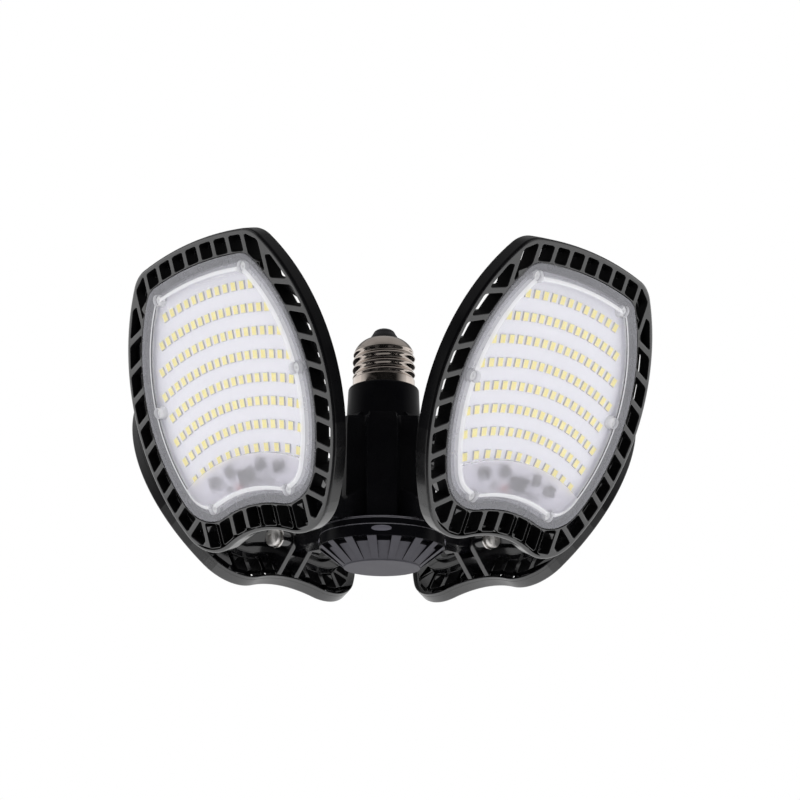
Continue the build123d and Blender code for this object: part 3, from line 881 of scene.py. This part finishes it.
def add_insulator(bm):
    plug = neck_radius - 0.7
    top = neck_height + insulator_height
    profile = [(0, neck_height - 2), (plug, neck_height - 2), (plug, neck_height),
               (neck_radius - 0.3, neck_height), (neck_radius - 0.6, neck_height + 0.8),
               (tip_radius + 0.1, tip_middle), (tip_radius - 0.1, top), (0, top)]
    add_lathe(bm, round_profile(profile, (0.1, 0.05, 0.1, 0.6, 0.5, 0.1)), 64)


def add_contact(bm):
    """The top of an ellipsoid, down to the insulator."""
    low = neck_height + insulator_height
    start = asin((low - tip_middle) / tip_height)
    dome = [(tip_radius * cos(a), tip_middle + tip_height * sin(a)) for a in turns(12, start, pi / 2)]
    add_lathe(bm, [(0, low)] + dome + [(0, tip_middle + tip_height)], 64)


def add_collar(bm):
    inside = collar_top_radius - collar_wall
    spigot = thread_mean - shell_wall - 0.6
    points = [(inside, hub_top), (collar_foot_radius, hub_top), (collar_top_radius, 0), (spigot, 0),
              (spigot, spigot_height), (0, spigot_height)]
    profile = round_profile(points, (0.2, collar_shoulder, 0.1, 0.3), 8)
    add_lathe(bm, profile + [(0, -collar_roof), (inside, -collar_roof), (inside, hub_top)], 128)
    for quarter in range(4):
        turn = Matrix.Rotation(radians(45 + 90 * quarter), 4, "Z")
        gusset_top = hub_top + collar_gusset_height
        corners = [(inside + 1, hub_top), (collar_foot_radius + collar_gusset_reach, hub_top),
                   (collar_foot_radius + 0.1, gusset_top), (inside + 1, gusset_top)]
        upright = Matrix(((1, 0, 0, 0), (0, 0, -1, 0), (0, 1, 0, 0), (0, 0, 0, 1)))
        add_plate(bm, [corners], -collar_gusset_width / 2, collar_gusset_width / 2, 0.25, turn @ upright)


def add_lower_ring(bm):
    inside = ring_radius - ring_wall
    upper = hub_bottom - ring_step_heights[0]
    lower = upper - ring_step_heights[1]
    lip_under = hub_bottom - ring_lip_thickness
    points = [(inside - ring_lip, hub_bottom), (ring_radius - 2 * ring_step, hub_bottom),
              (ring_radius - 2 * ring_step, upper), (ring_radius - ring_step, upper),
              (ring_radius - ring_step, lower), (ring_radius, lower), (ring_radius, cap_top),
              (inside, cap_top), (inside, lip_under), (inside - ring_lip, lip_under),
              (inside - ring_lip, hub_bottom)]
    radii = (0.4, 0.02, 0.38, 0.02, 0.4, 0.12, 0.1, 0.1, 0.1)
    add_lathe(bm, round_profile(points, radii, 4), 160)
    # The ring's rounded step edges take the third, lighter material: a painted highlight.
    bm.normal_update()
    for face in bm.faces:
        middle = face.calc_center_median()
        if 0.1 < abs(face.normal.z) < 0.95 and middle.z > cap_top + 1 and middle.xy.length > inside:
            face.material_index = 2
    # Four oval bumps round the ring, in the second material, a lighter grey.
    for quarter in range(4):
        turn = Matrix.Rotation(pi / 2 * quarter, 4, "Z")
        place = Matrix.Translation((ring_radius - ring_bump_sink, 0, hub_bottom - ring_bump_drop))
        rise = ring_bump_rise + ring_bump_sink
        size = Matrix.Diagonal((rise, ring_bump_width / 2, ring_bump_height / 2, 1))
        bump = bmesh.new()
        bmesh.ops.create_uvsphere(bump, u_segments=32, v_segments=16, radius=1.0, matrix=turn @ place @ size)
        add_mesh(bm, loose_mesh(bump), material=1)


def add_rib(bm, stations, turn):
    """A tapered rib through its stations, its sides in the second, darker material as painted shade."""
    rib = bmesh.new()
    rows = []
    for radius, height, width, depth in stations:
        back = min(height + cap_rib_back, cap_top)
        corners = [(radius, -width / 2, height), (radius, width / 2, height),
                   (radius - depth, width / 2, back), (radius - depth, -width / 2, back)]
        rows.append([rib.verts.new(turn @ Vector(corner)) for corner in corners])
    close_rows(rib, rows)
    bmesh.ops.recalc_face_normals(rib, faces=rib.faces)
    bmesh.ops.bevel(rib, geom=rib.edges, offset=cap_rib_bevel, segments=2, profile=0.5, affect="EDGES")
    rib.normal_update()
    across = turn.to_3x3() @ Vector((0, 1, 0))
    for face in rib.faces:
        face.material_index = 1 if abs(face.normal.dot(across)) > 0.8 else 0
    add_mesh(bm, loose_mesh(rib))


def add_bottom_cap(bm):
    """A shallow cone with a flat disc, a groove under the ring and tapered ribs across both; the groove and
    the ribs' sides carry painted shade.
    """
    edge = ring_radius - cap_inset
    groove = edge - cap_groove_depth
    bottom = cap_top - cap_height
    spigot = ring_radius - ring_wall - cap_clearance
    spigot_top = cap_top + cap_spigot_height
    foot = bottom + cap_disc_rise
    profile = round_profile([(0, bottom), (cap_disc_radius, bottom), (cap_disc_radius, foot),
                             (groove, cap_top - cap_groove_height), (groove, cap_top), (spigot, cap_top),
                             (spigot, spigot_top)], (0.25, 0.1, 0.3, 0.1, 0.1), 4)
    add_lathe(bm, profile + [(spigot - cap_wall, spigot_top), (spigot - cap_wall, cap_top),
                             (cap_disc_radius - cap_wall, bottom + cap_wall), (0, bottom + cap_wall)], 160)
    # The groove under the ring takes the second, darker material: painted shade.
    for face in bm.faces:
        if face.calc_center_median().z > cap_top - cap_groove_height - 0.2:
            face.material_index = 1
    stations = [(cap_disc_radius - 0.5, foot + 0.1, cap_rib_foot_width, 0.8),
                (cap_disc_radius + 0.3, foot + 0.02, cap_rib_foot_width, 0.8),
                (edge, cap_top - 0.3, cap_rib_top_width, cap_groove_depth + 1.0),
                (edge, cap_top, cap_rib_top_width, cap_groove_depth + 1.0)]
    for place in range(cap_rib_count):
        angle = 360 * (place + 0.5) / cap_rib_count + cap_rib_turn
        add_rib(bm, stations, Matrix.Rotation(radians(angle), 4, "Z"))


def add_softened_copy(bm, node, bevel):
    """A copy of a solid's mesh with its sharp edges rounded."""
    bm.from_mesh(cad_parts[node].data)
    bmesh.ops.remove_doubles(bm, verts=bm.verts, dist=1e-6)
    bmesh.ops.dissolve_limit(bm, angle_limit=radians(1.0), verts=bm.verts, edges=bm.edges)
    least = radians(28)
    sharp = [edge for edge in bm.edges if len(edge.link_faces) == 2 and edge.calc_face_angle() > least]
    bmesh.ops.bevel(bm, geom=sharp, offset=bevel * MM, segments=3, profile=0.5, affect="EDGES",
                    clamp_overlap=True)
    bmesh.ops.scale(bm, vec=(1 / MM, 1 / MM, 1 / MM), verts=bm.verts)


# Materials
def feed(inputs, values):
    """Sets inputs by name or number, each to a value or from another node's output."""
    for name, value in values.items():
        if isinstance(value, bpy.types.NodeSocket):
            value.id_data.links.new(value, inputs[name])
        else:
            inputs[name].default_value = value


def add_node(tree, kind, values=(), **settings):
    node = tree.nodes.new(kind)
    for name, setting in settings.items():
        setattr(node, name, setting)
    feed(node.inputs, dict(values))
    return node


def new_material(name, colour, roughness, values):
    """A material and its shader, with further values by the names of the shader's inputs."""
    material = bpy.data.materials.new(name)
    material.use_nodes = True
    shader = material.node_tree.nodes["Principled BSDF"]
    feed(shader.inputs, {"Base Color": (*colour, 1), "Roughness": roughness, **values})
    return material, shader


def map_range(source, low, high, to_low, to_high):
    """A number carried from one range to another."""
    values = {"Value": source, "From Min": low, "From Max": high, "To Min": to_low, "To Max": to_high}
    return add_node(source.id_data, "ShaderNodeMapRange", values).outputs["Result"]


def grain(material, scale, detail):
    """Noise in the piece's own coordinates."""
    tree = material.node_tree
    place = add_node(tree, "ShaderNodeTexCoord").outputs["Object"]
    values = {"Vector": place, "Scale": scale, "Detail": detail}
    return add_node(tree, "ShaderNodeTexNoise", values).outputs["Fac"]


def tint(source, dark, light):
    """A colour that a pattern moves between two."""
    ramp = add_node(source.id_data, "ShaderNodeValToRGB", {"Fac": source})
    for stop, place, colour in zip(ramp.color_ramp.elements, pattern_range, (dark, light)):
        stop.position = place
        stop.color = (*colour, 1)
    return ramp.outputs["Color"]


def textured(name, dark, light, rough_low, rough_high, texture, values):
    """A material with broad changes of colour and roughness and a fine bump."""
    scale, detail, fine_scale, strength, distance = texture
    material, shader = new_material(name, light, rough_high, values)
    broad = grain(material, scale, detail)
    fine = grain(material, fine_scale, 2.0)
    bump = add_node(material.node_tree, "ShaderNodeBump",
                    {"Strength": strength, "Distance": distance, "Height": fine})
    feed(shader.inputs, {"Base Color": tint(broad, dark, light), "Normal": bump.outputs["Normal"],
                         "Roughness": map_range(broad, *pattern_range, rough_low, rough_high)})
    return material


def coated_metal(name, *looks):
    texture = (60.0, 4.0, 2600.0, 0.12, 0.00006)
    return textured(name, *looks, texture, {"Specular IOR Level": 0.75, "IOR": 1.7})


def moulded_plastic(name, dark, light, rough_low, rough_high, bump, gloss):
    texture = (90.0, 4.0, 1500.0, bump, 0.00005)
    return textured(name, dark, light, rough_low, rough_high, texture, {"Specular IOR Level": gloss})


def plated_metal(name, *looks):
    return textured(name, *looks, (160.0, 5.0, 3500.0, 0.06, 0.00004), {"Metallic": 1.0})


def lens_plastic():
    """Clear plastic, frosted below an arc about the leaf's fan centre."""
    values = {"Transmission Weight": 0.94, "IOR": lens_ior}
    material, shader = new_material("lens_plastic", (0.97, 0.975, 0.985), 0.03, values)
    tree = material.node_tree
    place = add_node(tree, "ShaderNodeTexCoord").outputs["UV"]
    scale = (leaf_map_size * MM, leaf_map_size * MM, 0.0)
    from_fan = add_node(tree, "ShaderNodeVectorMath", operation="MULTIPLY_ADD")
    feed(from_fan.inputs, {0: place, 1: scale, 2: (0.0, -fan_centre * MM, 0.0)})
    reach = add_node(tree, "ShaderNodeVectorMath", {0: from_fan.outputs["Vector"]}, operation="LENGTH")
    inner, outer = [(frosted_reach + side * frosted_edge) * MM for side in (-1, 1)]
    frost = map_range(reach.outputs["Value"], inner, outer, frosted_roughness, clear_roughness)
    share = map_range(frost, clear_roughness, frosted_roughness, 0.0, 1.0)
    feed(shader.inputs, {"Base Color": tint(share, (0.99, 0.99, 1.0), (0.96, 0.95, 0.985)),
                         "Roughness": frost, "Alpha": map_range(share, 0.0, 1.0, clear_cover, 1.0)})
    return material


def milky_plastic(name, colour, cover):
    """Lens plastic that scatters part of the light and lets the rest through; on the lens edge its near-white
    colour is a painted highlight.
    """
    material, shader = new_material(name, colour, 0.25, {"Alpha": cover, "IOR": lens_ior})
    feed(shader.inputs, {"Roughness": map_range(grain(material, 200.0, 3.0), *pattern_range, 0.2, 0.3)})
    return material


def plain_matte(name, dark, light, roughness):
    material, shader = new_material(name, light, roughness, {"Specular IOR Level": 0.25})
    broad = grain(material, 400.0, 4.0)
    rough = map_range(broad, *pattern_range, roughness - 0.08, roughness + 0.05)
    feed(shader.inputs, {"Base Color": tint(broad, dark, light), "Roughness": rough})
    return material


pattern_range = (0.3, 0.7)
lens_ior = 1.49
frosted_edge = 0.2
frosted_roughness = 0.6
clear_roughness = 0.02
clear_cover = 0.06
# Colour of the frame's walls that are painted as shade, in the slots and on the outer walls.
painted_shade_black = ((0.002, 0.002, 0.0025), (0.003, 0.003, 0.0035))
plain_black = ((0.003, 0.003, 0.004), (0.005, 0.005, 0.006))

# Dark and light colour, least and most roughness, strength of the bump, and gloss
plastics = {
    # The slot walls' material is painted shade: darker and matte.
    "slot_black": (*painted_shade_black, 0.7, 0.8, 0.05, 0.08),
    "hub_black": (*plain_black, 0.12, 0.2, 0.04, 0.25),
    # Also painted shade on the bottom cap's groove and rib sides.
    "collar_black": (*plain_black, 0.25, 0.35, 0.04, 0.04),
    "cap_black": ((0.08, 0.078, 0.09), (0.095, 0.093, 0.106), 0.45, 0.55, 0.05, 0.06),
    "ring_window": ((0.12, 0.116, 0.14), (0.15, 0.145, 0.17), 0.15, 0.2, 0.02, 0.3),
    # The ring's edges: a painted highlight, lighter than the ring.
    "ring_edge": ((0.15, 0.147, 0.165), (0.19, 0.186, 0.205), 0.3, 0.4, 0.03, 0.3),
    "base_black": ((0.008, 0.008, 0.009), (0.016, 0.016, 0.018), 0.2, 0.3, 0.05, 0.12),
    "screw_zinc": ((0.7, 0.7, 0.72), (0.8, 0.8, 0.82), 0.3, 0.4, 0.03, 0.35),
}
# The outer walls' painted shade: one dark colour, its gloss rising step by step as the walls turn towards -Y.
skirt_shade_materials = [f"skirt_black_{step}" for step in range(len(skirt_shade_turns))]
for step, name in enumerate(skirt_shade_materials):
    plastics[name] = (*painted_shade_black, 0.2, 0.3, 0.05, 0.1 + 0.2 * step)

# Dark and light colour, least and most roughness
metals = {
    "nickel": ((0.47, 0.41, 0.37), (0.55, 0.49, 0.445), 0.07, 0.12),
    "hinge_zinc": ((0.7, 0.68, 0.66), (0.84, 0.82, 0.8), 0.4, 0.5),
    "screw_steel": ((0.58, 0.56, 0.54), (0.74, 0.72, 0.70), 0.18, 0.3),
    "nut_black": ((0.03, 0.03, 0.03), (0.05, 0.05, 0.05), 0.3, 0.45),
    "solder": ((0.06, 0.06, 0.06), (0.12, 0.12, 0.12), 0.3, 0.45),
}
coatings = {"frame_black": ((0.003, 0.003, 0.0035), (0.005, 0.005, 0.006), 0.16, 0.22)}

# Colour and cover
lens_rims = {
    "lens_border": ((0.42, 0.42, 0.455), 0.45),
    # A painted highlight on the window's bevel wall and the bosses.
    "lens_edge": ((0.94, 0.94, 0.97), 0.7),
}

# Dark and light colour, and roughness
mattes = {
    "board_white": ((0.86, 0.855, 0.92), (0.89, 0.885, 0.95), 0.45),
    "package_white": ((0.93, 0.9, 0.9), (0.96, 0.93, 0.93), 0.5),
    # The LED packages' grey sides are painted shade.
    "package_side": ((0.54, 0.52, 0.56), (0.6, 0.58, 0.62), 0.5),
    "phosphor": ((0.98, 0.87, 0.38), (1.0, 0.92, 0.48), 0.55),
    "chip_dark": ((0.07, 0.07, 0.08), (0.1, 0.1, 0.11), 0.5),
    "chip_red": ((0.6, 0.06, 0.05), (0.7, 0.09, 0.07), 0.5),
    "board_green": ((0.02, 0.12, 0.04), (0.03, 0.16, 0.06), 0.5),
    "lead_red": ((0.45, 0.02, 0.02), (0.55, 0.04, 0.03), 0.45),
    "lead_white": ((0.7, 0.7, 0.7), (0.8, 0.8, 0.8), 0.45),
    "floor_paint": ((0.86, 0.86, 0.86), (0.88, 0.88, 0.88), 0.7),
}
looks = {"lens_plastic": lens_plastic()}
for maker, table in ((moulded_plastic, plastics), (plated_metal, metals), (coated_metal, coatings),
                     (milky_plastic, lens_rims), (plain_matte, mattes)):
    for name, values in table.items():
        looks[name] = maker(name, *values)


# Placing pieces
def add_piece(name, mesh, materials, body, slot, node, matrix=Matrix.Identity(4)):
    """A piece that stands for a node of the solids and rides on the node's body.

    Its mesh is a copy in the shared frame, so that its box is measured along that frame.
    """
    own_mesh = mesh.copy()
    own_mesh.name = name
    own_mesh.transform(matrix)
    for material in materials:
        own_mesh.materials.append(looks[material])
    piece = new_object(name, own_mesh)
    weighted = piece.modifiers.new("flat_faces", "WEIGHTED_NORMAL")
    weighted.keep_sharp = True
    bpy.context.view_layer.update()
    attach(piece, body)
    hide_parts(node)


def dress(node, material):
    """Gives a carried-over solid its material."""
    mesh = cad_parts[node].data
    mesh.materials.clear()
    mesh.materials.append(looks[material])


def leaf_matrix(azimuth, tilt):
    """The place of a leaf: its columns are the hinge line, the rise of the leaf and its front."""
    out = Vector((*polar(1.0, radians(azimuth)), 0))
    along = Vector((-out.y, out.x, 0))
    up = Vector((0, 0, 1))
    lean = radians(tilt)
    rise = out * sin(lean) + up * cos(lean)
    front = out * cos(lean) - up * sin(lean)
    matrix = Matrix((along, rise, front)).transposed().to_4x4()
    matrix.translation = (out * hinge_radius - up * hinge_drop) * MM
    return matrix


hub_pieces = [
    ("screw_shell", finished(add_screw_shell, sharp_angle=50.0), ["nickel"], "nickel"),
    ("base_insulator", finished(add_insulator), ["base_black"], "base_black"),
    ("centre_contact", finished(add_contact, sharp_angle=60.0), ["solder"], "solder"),
    ("base_collar", finished(add_collar), ["collar_black"], "hub_black"),
    ("hub_body", finished(add_softened_copy, "hub_body", 0.35), ["hub_black"], "hub_black"),
    ("lower_ring", finished(add_lower_ring), ["collar_black", "ring_window", "ring_edge"], "hub_black"),
    ("bottom_cap", finished(add_bottom_cap), ["cap_black", "collar_black"], "hub_black"),
]
for node, mesh, materials, slot in hub_pieces:
    add_piece(node + "_finished", mesh, materials, "hub", slot, node)

shared_pieces = [
    ("frame", finished(add_frame), ["frame_black", "slot_black"] + skirt_shade_materials, "frame_black"),
    ("lens", finished(add_lens, sharp_angle=40.0), ["lens_plastic", "lens_border", "lens_edge"],
     "lens_clear"),
    ("leds", finished(add_leds, sharp_angle=20.0), ["package_white", "phosphor", "package_side"],
     "led_yellow"),
    ("driver_parts", finished(add_driver), ["chip_dark", "screw_steel", "chip_red"], "driver_dark"),
    ("board_screws", finished(add_board_screws), ["screw_zinc"], "screw_steel"),
]
hinge_pieces = {
    side: [
        ("hinge_screw", finished(add_hinge_screw, side), ["hinge_zinc"], "screw_steel"),
        ("flat_washer", finished(add_flat_washer, side), ["screw_steel"], "screw_steel"),
        ("spring_washer", finished(add_spring_washer, side), ["hinge_zinc"], "screw_steel"),
        ("hinge_nut", finished(add_hinge_nut, side), ["nut_black"], "screw_steel"),
    ]
    for side in (-1, 1)
}
for leaf, (azimuth, tilt, side) in leaves.items():
    matrix = leaf_matrix(azimuth, tilt)
    for piece, mesh, materials, slot in shared_pieces + hinge_pieces[side]:
        node = f"{leaf}_{piece}"
        add_piece(node + "_finished", mesh, materials, leaf + "_leaf", slot, node, matrix)
    dress(leaf + "_board", "board_white")

for node in ("collar_screws", "ring_screws", "terminal_screws"):
    dress(node, "screw_steel")
dress("terminal_board", "board_green")
dress("live_lead", "lead_red")
dress("neutral_lead", "lead_white")


# Camera, light and floor
def look_rotation(place, target, roll):
    """A camera's rotation towards a target, turned about its line of sight."""
    aim = (Vector(target) - Vector(place)).to_track_quat("-Z", "Y").to_matrix().to_4x4()
    return aim @ Matrix.Rotation(radians(roll), 4, "Z")


scene = bpy.context.scene
scene.view_settings.view_transform = "Standard"
camera_data = bpy.data.cameras.new("camera")
camera_data.sensor_width = 36.0
camera_data.lens = camera_focus / photo_size * camera_data.sensor_width
camera_data.clip_start = 0.01
camera = new_object("camera", camera_data)
camera.matrix_world = (Matrix.Translation(Vector(camera_place) * MM)
                       @ look_rotation(camera_place, camera_target, camera_roll))
scene.camera = camera


def area_light(name, place, size, power):
    data = bpy.data.lights.new(name, "AREA")
    data.shape = "RECTANGLE"
    data.size, data.size_y = size
    data.energy = power
    matrix = Matrix.Translation(Vector(place)) @ look_rotation(place, (0, 0, 0), 0)
    new_object(name, data).matrix_world = matrix


area_light("left_box", (-2.2, 1.2, 0.5), (2.4, 2.4), 6.0)
area_light("right_box", (2.2, 1.2, 0.5), (2.4, 2.4), 6.0)
area_light("top_box", (0.0, 0.0, 2.2), (5.0, 4.0), 16.0)

# The world is plain. Glossy rays see it darken towards the viewer and overhead, as in a studio.
studio_level = 0.97
viewer_side = (-0.7, 0.0, 0.01, 1.0)
overhead_side = (0.32, 0.5, 0.95, 0.2)
world = bpy.data.worlds.new("studio")
scene.world = world
world.use_nodes = True
tree = world.node_tree
path = add_node(tree, "ShaderNodeLightPath").outputs
direction = add_node(tree, "ShaderNodeTexCoord").outputs["Generated"]
split = add_node(tree, "ShaderNodeSeparateXYZ", {"Vector": direction}).outputs
room = map_range(split["Y"], *viewer_side)
room.node.interpolation_type = "SMOOTHSTEP"
overhead = map_range(split["Z"], *overhead_side)
dimmed = add_node(tree, "ShaderNodeMath", {0: room, 1: overhead}, operation="MULTIPLY").outputs["Value"]
shine = add_node(tree, "ShaderNodeMix", {"Factor": path["Is Glossy Ray"], "A": studio_level, "B": dimmed})
straight = {0: path["Is Camera Ray"], 1: path["Is Transmission Ray"]}
seen = add_node(tree, "ShaderNodeMath", straight, operation="MAXIMUM").outputs["Value"]
level = add_node(tree, "ShaderNodeMix", {"Factor": seen, "A": shine.outputs["Result"], "B": 1.0})
feed(tree.nodes["Background"].inputs, {"Color": (1, 1, 1, 1), "Strength": level.outputs["Result"]})

floor_mesh = bpy.data.meshes.new("floor")
floor_half = 4.0
floor_front = 0.12
floor_height = -0.34
floor_plan = [(-floor_half, -floor_half), (-floor_front, -floor_front), (floor_front, -floor_front),
              (floor_half, -floor_half), (floor_half, floor_half), (-floor_half, floor_half)]
floor_mesh.from_pydata([(x, y, floor_height) for x, y in floor_plan], [], [(0, 1, 2, 3, 4, 5)])
floor_mesh.materials.append(looks["floor_paint"])
floor = new_object("floor", floor_mesh)
floor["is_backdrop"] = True

boxes = {"cad": cad_box, "visual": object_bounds()}
{name: [list(corner) for corner in box] for name, box in boxes.items()}
